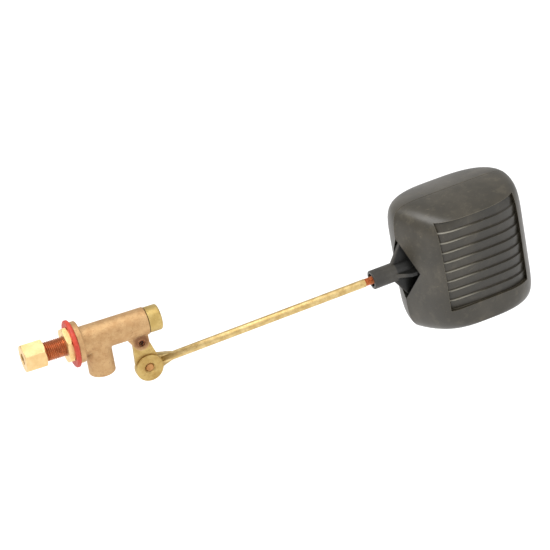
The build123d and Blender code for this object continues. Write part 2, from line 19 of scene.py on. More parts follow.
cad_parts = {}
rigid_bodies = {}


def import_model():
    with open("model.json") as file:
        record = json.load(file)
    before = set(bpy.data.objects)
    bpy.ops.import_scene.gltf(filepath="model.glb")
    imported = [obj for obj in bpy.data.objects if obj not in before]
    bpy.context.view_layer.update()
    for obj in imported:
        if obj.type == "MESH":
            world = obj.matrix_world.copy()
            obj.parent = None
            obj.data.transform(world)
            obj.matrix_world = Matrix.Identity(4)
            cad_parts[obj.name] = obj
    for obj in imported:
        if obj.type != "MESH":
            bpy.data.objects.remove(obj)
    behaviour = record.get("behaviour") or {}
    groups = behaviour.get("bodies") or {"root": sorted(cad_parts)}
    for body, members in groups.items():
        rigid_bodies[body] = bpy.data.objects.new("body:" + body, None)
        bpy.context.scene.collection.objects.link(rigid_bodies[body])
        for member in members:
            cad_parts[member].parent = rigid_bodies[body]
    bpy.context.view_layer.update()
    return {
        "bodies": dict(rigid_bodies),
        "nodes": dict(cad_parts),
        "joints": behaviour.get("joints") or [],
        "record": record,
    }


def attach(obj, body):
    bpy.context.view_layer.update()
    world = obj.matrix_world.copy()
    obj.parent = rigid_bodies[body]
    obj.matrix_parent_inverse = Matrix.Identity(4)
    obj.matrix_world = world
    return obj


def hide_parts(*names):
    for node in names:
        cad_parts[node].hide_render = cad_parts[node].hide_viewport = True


LOG = logging.getLogger("float_valve")
MM = 0.001

# The arm's own axes run from its eye along the rod, and the float's from the middle of the float.
ARM_TILT = math.radians(3.1)
ARM_ROOT = Vector((38.9, 2.0, -28.3))
ARM_FRAME = Matrix.Translation(ARM_ROOT * MM) @ Matrix.Rotation(-ARM_TILT, 4, "Y")
FLOAT_MIDDLE = 195.7
FLOAT_DROP = 1.4
FLOAT_FRAME = ARM_FRAME @ Matrix.Translation(Vector((FLOAT_MIDDLE, 0, -FLOAT_DROP)) * MM)

# The diamond pocket at the arm's end of the float, and the boss with its gussets in it.
POCKET_HALF_HEIGHT = 20.0
POCKET_HALF_WIDTH = 13.0
BOSS_RADIUS = 5.6
GUSSET_START = 152.0
GUSSET_RISE = 8.0

# The ribbed panel's left, right, bottom and top edges, from the middle of the float.
PANEL = (-22.2, 29.0, -21.0, 34.6)
SLATS = 9

Colour = tuple[float, float, float]


def screen(red: int, green: int, blue: int) -> Colour:
    """Linear colour of an 8-bit screen colour."""
    parts = (value / 255 for value in (red, green, blue))
    return tuple(p / 12.92 if p <= 0.04045 else ((p + 0.055) / 1.055) ** 2.4 for p in parts)


# ---- materials ----------------------------------------------------------------------------------
Operand = Union["Num", float, int]


class Num:
    """A number that varies over a surface, with arithmetic that adds its Math nodes."""

    def __init__(self, recipe: "Recipe", socket: bpy.types.NodeSocket) -> None:
        """Wraps an output socket.

        Args:
            recipe: the material being written.
            socket: the node output that carries the number.
        """
        self.recipe = recipe
        self.socket = socket

    def _math(self, operation: str, *operands: Operand) -> "Num":
        """Result of one Math node.

        Args:
            operation: the Math node's operation.
            operands: its inputs, in order.

        Returns:
            The node's output.
        """
        node = self.recipe.add("ShaderNodeMath", {"operation": operation}, dict(enumerate(operands)))
        return Num(self.recipe, node.outputs[0])

    def __add__(self, other: Operand) -> "Num":
        """Sum."""
        return self._math("ADD", self, other)

    def __radd__(self, other: Operand) -> "Num":
        """Sum, reflected."""
        return self._math("ADD", other, self)

    def __sub__(self, other: Operand) -> "Num":
        """Difference."""
        return self._math("SUBTRACT", self, other)

    def __rsub__(self, other: Operand) -> "Num":
        """Difference, reflected."""
        return self._math("SUBTRACT", other, self)

    def __mul__(self, other: Operand) -> "Num":
        """Product."""
        return self._math("MULTIPLY", self, other)

    def __rmul__(self, other: Operand) -> "Num":
        """Product, reflected."""
        return self._math("MULTIPLY", other, self)

    def __truediv__(self, other: Operand) -> "Num":
        """Quotient."""
        return self._math("DIVIDE", self, other)

    def __rtruediv__(self, other: Operand) -> "Num":
        """Quotient, reflected."""
        return self._math("DIVIDE", other, self)

    def absolute(self) -> "Num":
        """Its absolute value."""
        return self._math("ABSOLUTE", self)

    def fraction(self) -> "Num":
        """What is left over its whole part."""
        return self._math("FRACT", self)

    def larger(self, other: Operand) -> "Num":
        """The larger of two values."""
        return self._math("MAXIMUM", self, other)

    def sine(self) -> "Num":
        """Sine of the number, in radians."""
        return self._math("SINE", self)

    def between(self, low: float, high: float) -> "Num":
        """Smooth step that is 0 below low and 1 above high.

        Args:
            low: where the step starts.
            high: where it ends.

        Returns:
            The step's value.
        """
        settings = {"interpolation_type": "SMOOTHSTEP"}
        node = self.recipe.add("ShaderNodeMapRange", settings, {0: self, 1: low, 2: high, 3: 0.0, 4: 1.0})
        return Num(self.recipe, node.outputs[0])


class Recipe:
    """One node material while it is written."""

    def __init__(self, name: str) -> None:
        """Starts an empty material.

        Args:
            name: the material's name.
        """
        self.material = bpy.data.materials.new(name)
        self.material.use_nodes = True
        self.tree = self.material.node_tree
        self.tree.nodes.clear()
        output = self.add("ShaderNodeOutputMaterial", {}, {})
        self.shader = self.add("ShaderNodeBsdfPrincipled", {}, {})
        self.tree.links.new(self.shader.outputs[0], output.inputs[0])
        self.place = self.add("ShaderNodeTexCoord", {}, {}).outputs["Object"]

    def add(self, kind: str, settings: dict[str, Any], inputs: dict[Any, Any]) -> bpy.types.Node:
        """Adds any node.

        Args:
            kind: the node's type.
            settings: properties to set first.
            inputs: values or links, by input name or number.

        Returns:
            The new node.
        """
        node = self.tree.nodes.new(kind)
        for name, value in settings.items():
            setattr(node, name, value)
        for key, value in inputs.items():
            source = value.socket if isinstance(value, Num) else value
            if isinstance(source, bpy.types.NodeSocket):
                self.tree.links.new(source, node.inputs[key])
            elif isinstance(source, tuple) and len(source) == 3 and len(node.inputs[key].default_value) == 4:
                node.inputs[key].default_value = (*source, 1.0)
            else:
                node.inputs[key].default_value = source
        return node

    def mapped(self, turn: Sequence[float], stretch: Sequence[float]) -> bpy.types.NodeSocket:
        """Surface coordinates, turned and then stretched."""
        turned_place = self.add("ShaderNodeMapping", {}, {0: self.place, "Rotation": tuple(turn)})
        inputs = {0: turned_place.outputs[0], "Scale": tuple(stretch)}
        return self.add("ShaderNodeMapping", {}, inputs).outputs[0]

    def noise(self, size: float, detail: float = 3.0, rough: float = 0.55,
              stretch: Sequence[float] = (1.0, 1.0, 1.0), turn: Sequence[float] = (0.0, 0.0, 0.0)) -> Num:
        """Cloudy noise whose spots are about size millimetres across.

        Args:
            size: spot size in millimetres.
            detail: octaves.
            rough: share of the finer octaves.
            stretch: how much faster it changes along each axis.
            turn: rotation of the axes in radians.

        Returns:
            A number from about 0.2 to 0.8.
        """
        place = self.mapped(turn, stretch)
        inputs = {"Vector": place, "Scale": 1 / (size * MM), "Detail": detail, "Roughness": rough}
        return Num(self, self.add("ShaderNodeTexNoise", {}, inputs).outputs[0])

    def pits(self, size: float) -> Num:
        """Distance to the middle of scattered spots size millimetres apart."""
        inputs = {"Vector": self.place, "Scale": 1 / (size * MM), "Randomness": 1.0}
        return Num(self, self.add("ShaderNodeTexVoronoi", {}, inputs).outputs["Distance"])

    def along(self, axis: int, turn: Sequence[float] = (0.0, 0.0, 0.0)) -> Num:
        """Coordinate along one axis, in millimetres."""
        parts = self.add("ShaderNodeSeparateXYZ", {}, {0: self.mapped(turn, (1 / MM, 1 / MM, 1 / MM))})
        return Num(self, parts.outputs[axis])

    def distance(self, place: tuple[float, float, float]) -> Num:
        """Distance from a place, both in millimetres."""
        inputs = {0: self.place, 1: tuple(part * MM for part in place)}
        node = self.add("ShaderNodeVectorMath", {"operation": "DISTANCE"}, inputs)
        return Num(self, node.outputs["Value"]) / MM

    def edges(self, radius: float) -> Num:
        """1 on sharp edges and 0 on flat faces, within radius millimetres."""
        soft = self.add("ShaderNodeBevel", {"samples": 4}, {"Radius": radius * MM})
        hard = self.add("ShaderNodeNewGeometry", {}, {})
        inputs = {0: soft.outputs[0], 1: hard.outputs["Normal"]}
        dot = self.add("ShaderNodeVectorMath", {"operation": "DOT_PRODUCT"}, inputs)
        return (1 - Num(self, dot.outputs["Value"])).between(0.02, 0.25)

    def mix(self, factor: Operand, low: Any, high: Any) -> bpy.types.NodeSocket:
        """Colour between two colours.

        Args:
            factor: 0 for the first and 1 for the second.
            low: first colour or colour socket.
            high: second colour or colour socket.

        Returns:
            The mixed colour's socket.
        """
        node = self.add("ShaderNodeMix", {"data_type": "RGBA"}, {0: factor, 6: low, 7: high})
        return node.outputs[2]

    def bump(self, height: Num, depth: float, under: Optional[bpy.types.NodeSocket] = None
             ) -> bpy.types.NodeSocket:
        """Normal bent by a height that runs from 0 to 1 over depth millimetres."""
        inputs: dict[Any, Any] = {"Height": height, "Distance": depth * MM, "Strength": 1.0}
        if under is not None:
            inputs["Normal"] = under
        return self.add("ShaderNodeBump", {}, inputs).outputs[0]

    def finish(self, **inputs: Any) -> bpy.types.Material:
        """Connects the shader's sockets, named with underscores for spaces, and returns the material."""
        for key, value in inputs.items():
            name = key.replace("_", " ")
            source = value.socket if isinstance(value, Num) else value
            if isinstance(source, bpy.types.NodeSocket):
                self.tree.links.new(source, self.shader.inputs[name])
            else:
                self.shader.inputs[name].default_value = source
        return self.material


class Tooling(Enum):
    """How a metal surface was made, which decides its fine lines."""

    CAST = "cast"
    TURNED = "turned"
    DRAWN = "drawn"
    TUMBLED = "tumbled"


# Brown for the patch round the pivot ear: the body's painted shadow on the ear, together with oxide.
SHADOW_AND_OXIDE_BROWN = screen(104, 58, 38)
# Near-black colour of painted shade, laid in the float's pocket and over its ribbed panel.
PAINTED_SHADE = screen(6, 6, 5)
# Pale colour of the painted highlight on the slats' lips.
PAINTED_HIGHLIGHT = screen(140, 136, 124)


@dataclass(frozen=True)
class MetalFinish:
    """A copper alloy's surface: its colours, how it was worked and its wear."""

    name: str
    face: Colour
    shade: Colour
    stain: Colour
    edge: Colour
    tooling: Tooling
    roughness: tuple[float, float] = (0.38, 0.55)
    stain_share: float = 0.5
    grain: float = 0.05
    # Middle and reach of the brown patch round the pivot ear, which paints the body's shadow on the ear
    # together with oxide.
    shadow_and_oxide_place: Optional[tuple[float, float, float]] = None
    shadow_and_oxide_reach: float = 0.0

    def material(self) -> bpy.types.Material:
        """The finished material."""
        recipe = Recipe(self.name)
        patches = recipe.noise(5.0, 4.0, 0.6)
        specks = recipe.noise(0.55, 2.0, 0.6)
        blots = recipe.noise(2.2, 3.0, 0.65)
        colour = recipe.mix(patches.between(0.35, 0.65), self.face, self.shade)
        stain = blots.between(0.52, 0.72) * specks.between(0.3, 0.7) * self.stain_share
        colour = recipe.mix(stain, colour, self.stain)
        # Browner round the pivot ear: painted shadow of the body on the ear, together with oxide.
        if self.shadow_and_oxide_place is not None:
            near = recipe.distance(self.shadow_and_oxide_place) + recipe.noise(1.4) * 1.6 - 0.8
            shadow_and_oxide = 1 - near.between(self.shadow_and_oxide_reach * 0.45, self.shadow_and_oxide_reach)
            colour = recipe.mix(shadow_and_oxide * 0.8, colour, SHADOW_AND_OXIDE_BROWN)
        wear = recipe.edges(0.35)
        colour = recipe.mix(wear * 0.75, colour, self.edge)
        if self.tooling is Tooling.CAST:
            sand = recipe.noise(0.42, 3.0, 0.7)
            pits = recipe.pits(1.1).between(0.06, 0.2)
            normal = recipe.bump(sand, self.grain * 2.4)
            normal = recipe.bump(recipe.noise(2.4, 2.0), 0.12, normal)
            normal = recipe.bump(pits, 0.05, normal)
            colour = recipe.mix((1 - pits) * 0.5, colour, self.stain)
            rough = specks * 0.3 + self.roughness[0]
        elif self.tooling is Tooling.TURNED:
            lines = (recipe.along(0) * 18.0 + recipe.noise(1.6) * 2.0).sine()
            normal = recipe.bump(lines * 0.5 + recipe.noise(0.3) * 0.6, self.grain * 0.35)
            rough = patches * (self.roughness[1] - self.roughness[0]) + self.roughness[0]
        elif self.tooling is Tooling.DRAWN:
            turn = (0.0, ARM_TILT, 0.0)
            scratches = recipe.noise(0.25, 2.0, 0.6, (0.03, 1.0, 1.0), turn)
            normal = recipe.bump(scratches, self.grain)
            colour = recipe.mix(scratches.between(0.45, 0.7) * 0.35, colour, self.shade)
            rough = scratches * 0.25 + self.roughness[0]
        else:
            dents = recipe.noise(0.9, 3.0, 0.6)
            normal = recipe.bump(dents, self.grain * 1.6)
            rough = patches * (self.roughness[1] - self.roughness[0]) + self.roughness[0]
        return recipe.finish(Base_Color=colour, Metallic=1.0, Roughness=rough, Normal=normal)


@dataclass(frozen=True)
class PlasticFinish:
    """Moulded plastic with a satin skin, handling scuffs and faint flow marks.

    gussets is true for the boss, whose painted black shade starts behind its gussets' sloping edges. On the
    float's skin the material also paints shade in the pocket and over the ribbed panel, and highlights on
    the slats' lips.
    """

    name: str
    face: Colour
    shade: Colour
    scuff: Colour
    roughness: float = 0.42
    gussets: bool = False

    def pocket_shade(self, along: Num, across: Num, up: Num) -> Num:
        """Share of painted black shade, standing for the deep shade inside the pocket at the arm's end of
        the float.

        Args:
            along: place along the arm, from its root.
            across: distance from the seam plane.
            up: place above the arm.

        Returns:
            1 deep in the pocket and 0 outside it.
        """
        # On the boss: painted shade behind the gussets' sloping edges, where they sink into the pocket.
        if self.gussets:
            high = (up.absolute() - BOSS_RADIUS) / (POCKET_HALF_HEIGHT - BOSS_RADIUS)
            wide = (across - BOSS_RADIUS) / (POCKET_HALF_WIDTH - BOSS_RADIUS)
            return (along - GUSSET_START - high.larger(wide).larger(0.0) * GUSSET_RISE).between(1.0, 2.0)
        # On the float's skin: painted shade on the pocket walls past the pocket's mouth.
        inside = 1 - (across / POCKET_HALF_WIDTH + up.absolute() / POCKET_HALF_HEIGHT).between(1.0, 1.04)
        return inside * (along - GUSSET_START).between(4.5, 8.0) * (1 - along.between(184.0, 186.0))

    def panel(self, along: Num, across: Num, up: Num) -> tuple[Num, Num]:
        """Shares of painted shade in the panel, darker towards its right end, and of painted highlight on
        its slats' lips at its left end.

        Args:
            along: place along the arm, from its root.
            across: distance from the seam plane.
            up: place above the arm.

        Returns:
            The painted shade's share and the painted highlight's share.
        """
        left, right, bottom, top = PANEL
        blur = 0.3
        along, up = along - FLOAT_MIDDLE, up + FLOAT_DROP
        inside = along.between(left, left + blur) * (1 - along.between(right - blur, right))
        inside = inside * up.between(bottom, bottom + blur) * (1 - up.between(top - blur, top))
        inside = inside * across.between(12.0, 14.0)
        row = ((up - bottom) * (SLATS / (top - bottom)) + 0.02).fraction()
        # Painted highlight on each slat's upper lip, only towards the panel's left end, where light catches
        # the lips.
        lip = 1 - row.between(0.05, 0.09)
        lit_left_end = 1 - along.between(-14.0, 2.0)
        # Painted shade over the panel, light at its left end and darker towards its right end.
        dust_and_shade = along.between(left, right) * 0.4 + 0.12
        return inside * dust_and_shade, inside * lip * lit_left_end

    def material(self) -> bpy.types.Material:
        """The finished material."""
        recipe = Recipe(self.name)
        clouds = recipe.noise(16.0, 3.0, 0.5, (1.0, 1.0, 0.6))
        grain = recipe.noise(0.5, 2.0, 0.6)
        scuffs = recipe.noise(1.8, 4.0, 0.7, (0.25, 1.0, 1.0), (0.4, 0.5, 0.3)).between(0.6, 0.75)
        # Random pale dust patches on the skin.
        dust_and_shade = recipe.noise(6.0, 5.0, 0.7).between(0.5, 0.75)
        colour = recipe.mix(clouds.between(0.35, 0.65), self.face, self.shade)
        colour = recipe.mix(scuffs * 0.35 + dust_and_shade * 0.2, colour, self.scuff)
        colour = recipe.mix(recipe.edges(0.4) * 0.55, colour, self.scuff)
        offset = ARM_FRAME.inverted().translation / MM
        along, across, up = (recipe.along(axis, (0.0, ARM_TILT, 0.0)) + offset[axis] for axis in range(3))
        across = across.absolute()
        if not self.gussets:
            # Painted shade darkens the panel, most at its right end.
            panel_shade, lip_highlight = self.panel(along, across, up)
            colour = recipe.mix(panel_shade, colour, PAINTED_SHADE)
            # Painted highlight on the slats' lips at the panel's left end.
            colour = recipe.mix(lip_highlight * 0.8, colour, PAINTED_HIGHLIGHT)
        # Painted black shade deep inside the pocket.
        colour = recipe.mix(self.pocket_shade(along, across, up) * 0.93, colour, PAINTED_SHADE)
        rough = clouds * 0.18 + scuffs * 0.15 + self.roughness - 0.09
        normal = recipe.bump(grain, 0.018)
        normal = recipe.bump(recipe.noise(9.0, 2.0), 0.12, normal)
        return recipe.finish(Base_Color=colour, Roughness=rough, Normal=normal)


@dataclass(frozen=True)
class RubberFinish:
    """Soft rubber, matt, with a bloom and small moulding flecks."""

    name: str
    face: Colour
    shade: Colour
    bloom: Colour

    def material(self) -> bpy.types.Material:
        """The finished material."""
        recipe = Recipe(self.name)
        blots = recipe.noise(3.0, 4.0, 0.6)
        flecks = recipe.noise(0.5, 3.0, 0.6)
        colour = recipe.mix(blots.between(0.35, 0.65), self.face, self.shade)
        colour = recipe.mix(flecks.between(0.58, 0.75) * 0.35, colour, self.bloom)
        colour = recipe.mix(recipe.edges(0.5) * 0.3, colour, self.bloom)
        normal = recipe.bump(flecks, 0.04)
        normal = recipe.bump(blots, 0.1, normal)
        return recipe.finish(Base_Color=colour, Roughness=flecks * 0.2 + 0.45, Normal=normal)


Finish = Union[MetalFinish, PlasticFinish, RubberFinish]

FINISHES: dict[str, Finish] = {finish.name: finish for finish in (
    MetalFinish("cast_bronze", face=screen(198, 164, 120), shade=screen(184, 147, 104),
                stain=screen(138, 98, 68), edge=screen(218, 188, 146),
                tooling=Tooling.CAST, roughness=(0.42, 0.6), stain_share=0.4,
                shadow_and_oxide_place=(36.4, -4.0, -9.6), shadow_and_oxide_reach=6.0),
    # Same brass as the casting, made redder and darker to paint the shade and inter-reflection in the
    # nipple's thread grooves.
    MetalFinish("shank_bronze", face=screen(194, 120, 80), shade=screen(160, 90, 58),
                stain=screen(96, 44, 30), edge=screen(220, 152, 104),
                tooling=Tooling.TUMBLED, roughness=(0.36, 0.52), stain_share=0.7),
    MetalFinish("nut_brass", face=screen(227, 198, 145), shade=screen(219, 185, 130),
                stain=screen(204, 158, 104), edge=screen(248, 226, 178),
                tooling=Tooling.TUMBLED, roughness=(0.38, 0.52), stain_share=0.35),
    MetalFinish("lock_nut_brass", face=screen(232, 204, 146), shade=screen(222, 188, 128),
                stain=screen(196, 148, 96), edge=screen(246, 224, 176),
                tooling=Tooling.TUMBLED, roughness=(0.38, 0.52), stain_share=0.35),
    MetalFinish("ferrule_brass", face=screen(220, 188, 128), shade=screen(204, 168, 106),
                stain=screen(160, 120, 70), edge=screen(238, 214, 160),
                tooling=Tooling.TURNED, roughness=(0.32, 0.46), stain_share=0.3),
    MetalFinish("lever_brass", face=screen(194, 168, 108), shade=screen(176, 146, 88),
                stain=screen(136, 98, 56), edge=screen(216, 192, 134),
                tooling=Tooling.TUMBLED, roughness=(0.42, 0.6), stain_share=0.6, grain=0.07),
    MetalFinish("plunger_brass", face=screen(196, 172, 112), shade=screen(182, 155, 94),
                stain=screen(144, 112, 60), edge=screen(216, 194, 132),
                tooling=Tooling.TURNED, roughness=(0.38, 0.54), stain_share=0.4),
    MetalFinish("arm_brass", face=screen(214, 190, 136), shade=screen(190, 162, 106),
                stain=screen(138, 98, 56), edge=screen(226, 202, 150),
                tooling=Tooling.DRAWN, roughness=(0.36, 0.55), stain_share=0.55),
    MetalFinish("screw_brass", face=screen(186, 138, 90), shade=screen(164, 116, 70),
                stain=screen(120, 74, 46), edge=screen(208, 166, 118),
                tooling=Tooling.TUMBLED, roughness=(0.4, 0.56)),
    MetalFinish("washer_bronze", face=screen(180, 142, 92), shade=screen(160, 122, 74),
                stain=screen(118, 82, 50), edge=screen(204, 172, 124),
                tooling=Tooling.TUMBLED, roughness=(0.38, 0.54)),
    MetalFinish("pin_steel", face=screen(146, 92, 62), shade=screen(112, 66, 44),
                stain=screen(60, 34, 24), edge=screen(182, 132, 98),
                tooling=Tooling.TUMBLED, roughness=(0.4, 0.6), stain_share=0.6),
    # Same brass as the arm, made redder and darker to paint the shade and inter-reflection in the thread's
    # grooves.
    MetalFinish("arm_thread_brass_painted_shade", face=screen(206, 128, 80), shade=screen(182, 98, 56),
                stain=screen(120, 56, 32), edge=screen(236, 172, 116),
                tooling=Tooling.TUMBLED, roughness=(0.34, 0.52), stain_share=0.6),
    RubberFinish("red_rubber", face=screen(192, 60, 36), shade=screen(172, 46, 28),
                 bloom=screen(226, 120, 86)),
    RubberFinish("black_rubber", face=screen(38, 38, 38), shade=screen(28, 28, 28),
                 bloom=screen(66, 66, 66)),
    PlasticFinish("float_plastic", face=screen(57, 52, 42), shade=screen(46, 42, 33),
                  scuff=screen(112, 104, 86), roughness=0.38),
    PlasticFinish("boss_plastic", face=screen(52, 49, 43), shade=screen(42, 39, 34),
                  scuff=screen(84, 79, 70), roughness=0.45, gussets=True),
)}


class Paintbox:
    """Makes each finish's material once and hands it out by slot name."""

    def __init__(self) -> None:
        """Starts with no material made."""
        self.made: dict[str, bpy.types.Material] = {}

    def dress(self, piece: bpy.types.Object, finish: str) -> None:
        """Gives a piece one finish all over."""
        if finish not in self.made:
            self.made[finish] = FINISHES[finish].material()
        piece.data.materials.clear()
        piece.data.materials.append(self.made[finish])


# ---- mesh helpers -------------------------------------------------------------------------------
def start_edit(piece: bpy.types.Object) -> None:
    """Makes a piece the only selected object and opens it in edit mode with all of it selected."""
    bpy.ops.object.select_all(action="DESELECT")
    piece.select_set(True)
    bpy.context.view_layer.objects.active = piece
    bpy.ops.object.mode_set(mode="EDIT")
    bpy.ops.mesh.select_all(action="SELECT")


def end_edit() -> None:
    """Goes back to object mode."""
    bpy.ops.object.mode_set(mode="OBJECT")


def name_new(name: str) -> bpy.types.Object:
    """Names the object that was just added and puts its place into its mesh."""
    piece = bpy.context.active_object
    piece.name = name
    piece.data.name = name
    bpy.ops.object.transform_apply(location=True, rotation=True, scale=True)
    return piece


def move_mesh(piece: bpy.types.Object, matrix: Matrix) -> None:
    """Moves a piece's mesh and leaves its object at the origin."""
    piece.data.transform(matrix)
    piece.data.update()


def tidy_normals(piece: bpy.types.Object) -> None:
    """Merges doubles and turns the faces outward."""
    start_edit(piece)
    bpy.ops.mesh.remove_doubles(threshold=1e-7)
    bpy.ops.mesh.normals_make_consistent(inside=False)
    end_edit()


def smooth(piece: bpy.types.Object, degrees: float) -> None:
    """Smooth shading that keeps edges sharper than the angle."""
    bpy.ops.object.select_all(action="DESELECT")
    piece.select_set(True)
    bpy.context.view_layer.objects.active = piece
    bpy.ops.object.shade_smooth_by_angle(angle=math.radians(degrees))


def apply_modifier(piece: bpy.types.Object, kind: str, **settings: Any) -> None:
    """Adds a modifier with its settings and applies it."""
    bpy.ops.object.select_all(action="DESELECT")
    piece.select_set(True)
    bpy.context.view_layer.objects.active = piece
    modifier = piece.modifiers.new(kind.lower(), kind)
    for name, value in settings.items():
        setattr(modifier, name, value)
    bpy.ops.object.modifier_apply(modifier=modifier.name)


def cut(piece: bpy.types.Object, cutter: bpy.types.Object) -> None:
    """Takes the cutter's shape out of a piece and deletes the cutter."""
    apply_modifier(piece, "BOOLEAN", operation="DIFFERENCE", object=cutter, solver="EXACT")
    bpy.data.objects.remove(cutter)


def joined(name: str, pieces: Sequence[bpy.types.Object]) -> bpy.types.Object:
    """One object made of several.

    Args:
        name: the joined object's name.
        pieces: objects whose meshes are in place.

    Returns:
        The joined object.
    """
    bpy.ops.object.select_all(action="DESELECT")
    for piece in pieces:
        piece.select_set(True)
    bpy.context.view_layer.objects.active = pieces[0]
    bpy.ops.object.join()
    result = bpy.context.active_object
    result.name = name
    result.data.name = name
    return result


def turned(name: str, profile: Sequence[tuple[float, float]], segments: int = 96) -> bpy.types.Object:
    """Ring pulled along a closed profile round the X axis.

    Args:
        name: the object's name.
        profile: (distance along X, radius) points in millimetres, in order round the section.
        segments: sides of each ring.

    Returns:
        A closed solid of revolution.
    """
    bpy.ops.object.select_all(action="DESELECT")
    start, radius = profile[0]
    bpy.ops.mesh.primitive_circle_add(vertices=segments, radius=radius * MM, location=(start * MM, 0, 0),
                                      rotation=(0, math.pi / 2, 0))
    piece = name_new(name)
    start_edit(piece)
    here, size = start, radius
    for along, wide in profile[1:]:
        step = {"value": ((along - here) * MM, 0, 0)}
        bpy.ops.mesh.extrude_region_move(TRANSFORM_OT_translate=step)
        scale = wide / size
        bpy.ops.transform.resize(value=(1, scale, scale), center_override=(along * MM, 0, 0))
        here, size = along, wide
    bpy.ops.mesh.select_all(action="DESELECT")
    bpy.ops.mesh.select_non_manifold()
    bpy.ops.mesh.bridge_edge_loops()
    end_edit()
    tidy_normals(piece)
    return piece


@dataclass
class ThreadRidge:
    """Helical ridge of a screw thread, wound round the X axis."""

    start: float
    length: float
    root_radius: float
    crest_radius: float
    pitch: float
    steps: int = 40
    flank_share: float = 0.46

    def build(self, name: str) -> bpy.types.Object:
        """Winds the ridge.

        Args:
            name: the object's name.

        Returns:
            A closed coil.
        """
        bpy.ops.object.select_all(action="DESELECT")
        bpy.ops.mesh.primitive_circle_add(vertices=3, radius=self.pitch * MM, rotation=(math.pi / 2, 0, 0))
        piece = name_new(name)
        flank = self.flank_share * self.pitch
        corners = [(-flank, self.root_radius), (0.0, self.crest_radius), (flank, self.root_radius)]
        for vertex, (along, radius) in zip(piece.data.vertices, corners):
            vertex.co = Vector((self.start + self.pitch / 2 + along, 0, radius)) * MM
        turns = int(self.length / self.pitch) - 1
        apply_modifier(piece, "SCREW", axis="X", angle=2 * math.pi, screw_offset=self.pitch * MM,
                       iterations=turns, steps=self.steps, render_steps=self.steps, use_merge_vertices=False)
        start_edit(piece)
        bpy.ops.mesh.select_all(action="DESELECT")
        bpy.ops.mesh.select_non_manifold()
        bpy.ops.mesh.fill_holes(sides=4)
        end_edit()
        tidy_normals(piece)
        return piece


# ---- sub-assemblies -----------------------------------------------------------------------------
@dataclass
class Inlet:
    """Threaded nipple and the rubber washer that seals the tank wall."""

    thread_radius: float = 5.55
    thread_root: float = 5.06
    thread_pitch: float = 1.058
    nipple_end: float = -25.6
    root_end: float = 8.0
    root_radius: float = 4.98
    bore_radius: float = 3.26
    washer_radius: float = 13.4
    washer_bore: float = 5.75
    washer_thickness: float = 2.5
    washer_gap: float = 0.02

    def nipple(self) -> bpy.types.Object:
        """Nipple with its helical thread, seated in the casting."""
        core = turned("nipple_core", [
            (self.nipple_end, self.bore_radius), (self.nipple_end, self.thread_root - 0.4),
            (self.nipple_end + 0.5, self.thread_root), (-0.1, self.thread_root), (0.0, self.root_radius),
            (self.root_end, self.root_radius), (self.root_end, self.bore_radius),
        ])
        ridge = ThreadRidge(self.nipple_end + 0.4, -self.nipple_end - 0.9, self.thread_root - 0.08,
                            self.thread_radius - 0.02, self.thread_pitch).build("nipple_ridge")
        piece = joined("threaded_nipple", [core, ridge])
        smooth(piece, 30)
        return piece

    def washer(self) -> bpy.types.Object:
        """Rubber washer with a rounded rim, pulled in a little where the nut bears on it."""
        out, thick = self.washer_radius, self.washer_thickness
        front, back = -thick + self.washer_gap, -self.washer_gap
        piece = turned("sealing_washer", [
            (back, self.washer_bore), (back, out - 0.95), (-0.12, out - 0.5), (-0.4, out - 0.15),
            (-0.85, out), (-1.6, out), (-2.1, out - 0.15), (-thick + 0.12, out - 0.5), (-thick, out - 1.0),
            (-thick, 11.2), (-thick + 0.12, 10.6), (front, 9.6), (front, self.washer_bore),
        ], 128)
        smooth(piece, 50)
        return piece

    def build(self, paint: Paintbox) -> None:
        """Builds both pieces, dresses them and puts them on the valve."""
        nipple = self.nipple()
        # Redder, darker brass that paints the shade in the thread grooves.
        paint.dress(nipple, "shank_bronze")
        settle(nipple, "valve", "shank_bronze", "inlet_nipple")
        washer = self.washer()
        paint.dress(washer, "red_rubber")
        settle(washer, "valve", "red_rubber", "tank_washer")


@dataclass
class Arm:
    """Float arm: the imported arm's eye, neck and rod, with a cut thread on its end."""

    rod_end: float = 134.5
    tip: float = 152.0
    core_radius: float = 1.95
    crest_radius: float = 2.34
    pitch: float = 0.794

    def build(self, paint: Paintbox, frame: dict[str, Any]) -> None:
        """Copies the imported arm, cuts its plain end off and joins a threaded one."""
        source = frame["nodes"]["float_arm"]
        rod = bpy.data.objects.new("arm_rod", source.data.copy())
        bpy.context.scene.collection.objects.link(rod)
        move_mesh(rod, ARM_FRAME.inverted())
        start_edit(rod)
        bpy.ops.mesh.remove_doubles(threshold=1e-6)
        bpy.ops.mesh.bisect(plane_co=(self.rod_end * MM, 0, 0), plane_no=(1, 0, 0), clear_outer=True,
                            use_fill=True)
        end_edit()
        paint.dress(rod, "arm_brass")
        core = turned("arm_core", [
            (self.rod_end - 1.0, 0.2), (self.rod_end - 1.0, self.core_radius),
            (self.tip - 0.4, self.core_radius), (self.tip, self.core_radius - 0.4), (self.tip, 0.2),
        ], 48)
        ridge = ThreadRidge(self.rod_end - 0.5, self.tip - self.rod_end - 0.2, self.core_radius - 0.08,
                            self.crest_radius, self.pitch, 32).build("arm_ridge")
        thread = joined("arm_thread", [core, ridge])
        # Redder, darker brass that paints the shade in the thread grooves.
        paint.dress(thread, "arm_thread_brass_painted_shade")
        piece = joined("float_arm_threaded", [rod, thread])
        move_mesh(piece, ARM_FRAME)
        smooth(piece, 30)
        settle(piece, "float_arm", "arm_brass", "float_arm")


